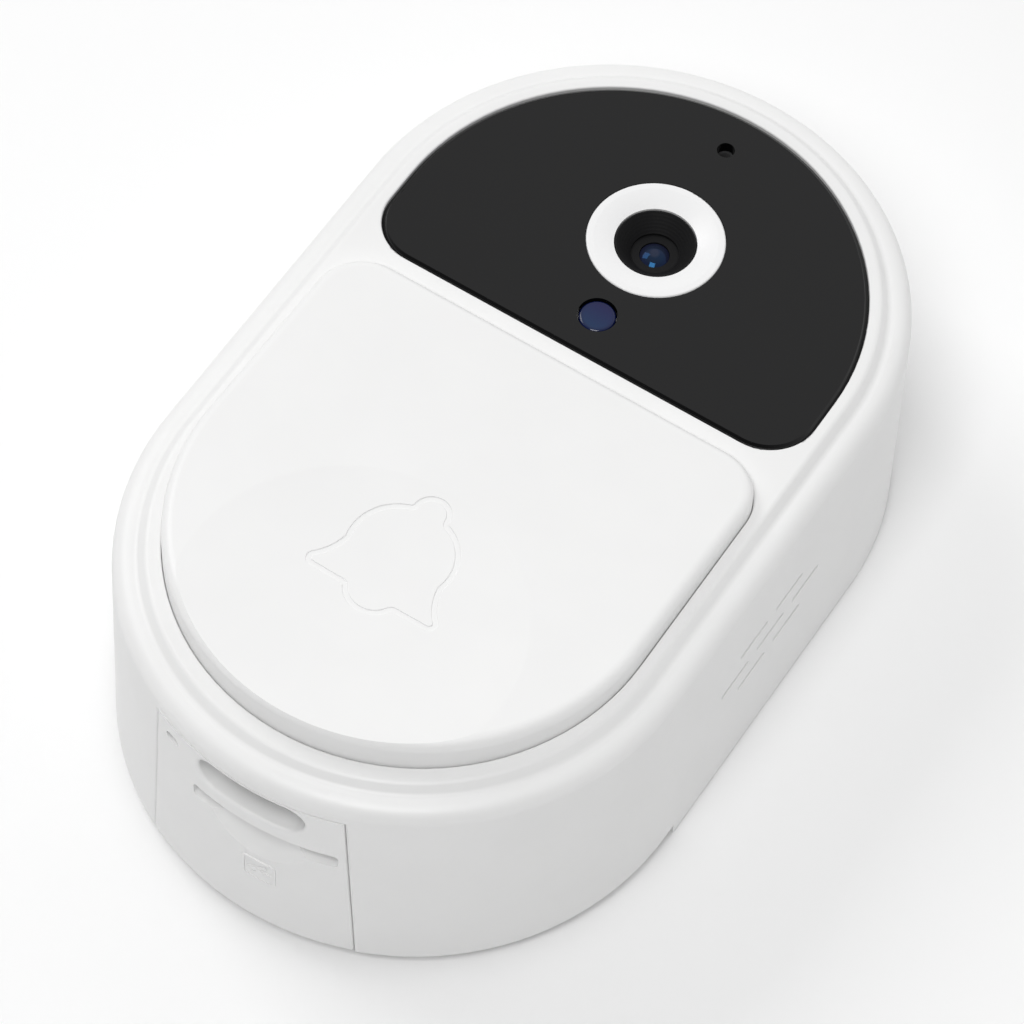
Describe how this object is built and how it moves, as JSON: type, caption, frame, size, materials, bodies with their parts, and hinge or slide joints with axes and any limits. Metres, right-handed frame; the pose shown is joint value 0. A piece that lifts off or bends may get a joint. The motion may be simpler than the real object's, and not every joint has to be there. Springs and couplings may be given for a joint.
{
  "type": "video doorbell",
  "caption": "Battery video doorbell: rounded white casing with a black camera window, a large bell push button, an end hatch with a charging port, and a wall bracket.",
  "frame": {"origin": "middle of the wall side (the back), with the doorbell lying on its back", "axes": "+Z out through the front, +Y up the wall to the camera end, +X to the right when facing the front"},
  "size_m": [0.06, 0.0966, 0.0332],
  "materials": {
    "shell_white": "fine spark-eroded satin white ABS",
    "button_white": "fine satin white ABS",
    "window_black": "polished black acrylic",
    "bezel_white": "smooth satin white",
    "optic_black": "matte black, baffled",
    "lens_glass": "coated optical glass",
    "sensor_blue": "deep blue filter plastic",
    "pcb_green": "solder mask over glass fibre",
    "chip_black": "moulded epoxy",
    "tin_metal": "tinned sheet steel",
    "gold_contact": "gold-plated brass",
    "screw_steel": "zinc-plated steel",
    "seal_rubber": "dark silicone rubber",
    "seal_silicone": "translucent white silicone rubber",
    "cell_wrap": "blue PVC shrink sleeve",
    "led_clear": "clear epoxy",
    "tape_black": "foam tape",
    "inner_grey": "moulded grey ABS",
    "magnet_metal": "nickel-plated",
    "cone_film": "formed polymer film",
    "bracket_white": "satin white ABS",
    "flex_amber": "polyimide film",
    "switch_metal": "stamped steel and black nylon"
  },
  "bodies": {
    "housing": {"front_shell": "shell_white", "rear_cover": "bracket_white", "rear_gasket": "seal_rubber", "case_screws": "screw_steel", "lens_window": "window_black", "window_tape": "tape_black", "lens_bezel": "bezel_white", "lens_barrel": "optic_black", "lens_glass": "lens_glass", "lens_holder": "optic_black", "image_sensor": "chip_black", "camera_board": "pcb_green", "camera_screws": "screw_steel", "camera_flex": "flex_amber", "sensor_lens": "sensor_blue", "light_sensor": "chip_black", "microphone": "tin_metal", "mic_boot": "seal_rubber", "main_board": "pcb_green", "board_screws": "screw_steel", "board_chips": "chip_black", "wifi_shield": "tin_metal", "ir_leds": "led_clear", "antenna": "flex_amber", "button_seal": "seal_silicone", "tact_switch": "switch_metal", "battery_bay": "inner_grey", "bay_pins": "gold_contact", "pin_board": "pcb_green", "speaker_frame": "optic_black", "speaker_magnet": "magnet_metal", "speaker_cone": "cone_film", "speaker_foam": "tape_black"},
    "button": {"button_cap": "button_white"},
    "switch_stem": {"tact_plunger": "optic_black"},
    "battery_pack": {"battery_drawer": "shell_white", "drawer_seal": "seal_rubber", "battery_cell": "cell_wrap", "cell_contacts": "gold_contact", "charge_board": "pcb_green", "usb_port": "tin_metal", "reset_switch": "switch_metal"},
    "reset_stem": {"reset_plunger": "optic_black"},
    "bracket": {"wall_bracket": "bracket_white", "adhesive_pad": "tape_black"}
  },
  "joints": [
    {"name": "button_press", "type": "slide", "parent": "housing", "child": "button", "axis": [0, 0, -1], "range_m": [0, 0.0005], "stiffness_N_per_m": 3000, "deforming": ["button_seal"]},
    {"name": "switch_stem_travel", "type": "slide", "parent": "housing", "child": "switch_stem", "axis": [0, 0, -1], "range_m": [0, 0.0005]},
    {"name": "battery_pull", "type": "slide", "parent": "housing", "child": "battery_pack", "axis": [0, -1, 0], "range_m": [0, 0.06]},
    {"name": "reset_press", "type": "slide", "parent": "battery_pack", "child": "reset_stem", "axis": [0, 1, 0], "range_m": [0, 0.00025], "stiffness_N_per_m": 800},
    {"name": "bracket_slide", "type": "slide", "parent": "housing", "child": "bracket", "axis": [0, -1, 0], "range_m": [0, 0.008]}
  ],
  "couplings": [
    {"joint": "switch_stem_travel", "follows": "button_press", "ratio": 1}
  ]
}
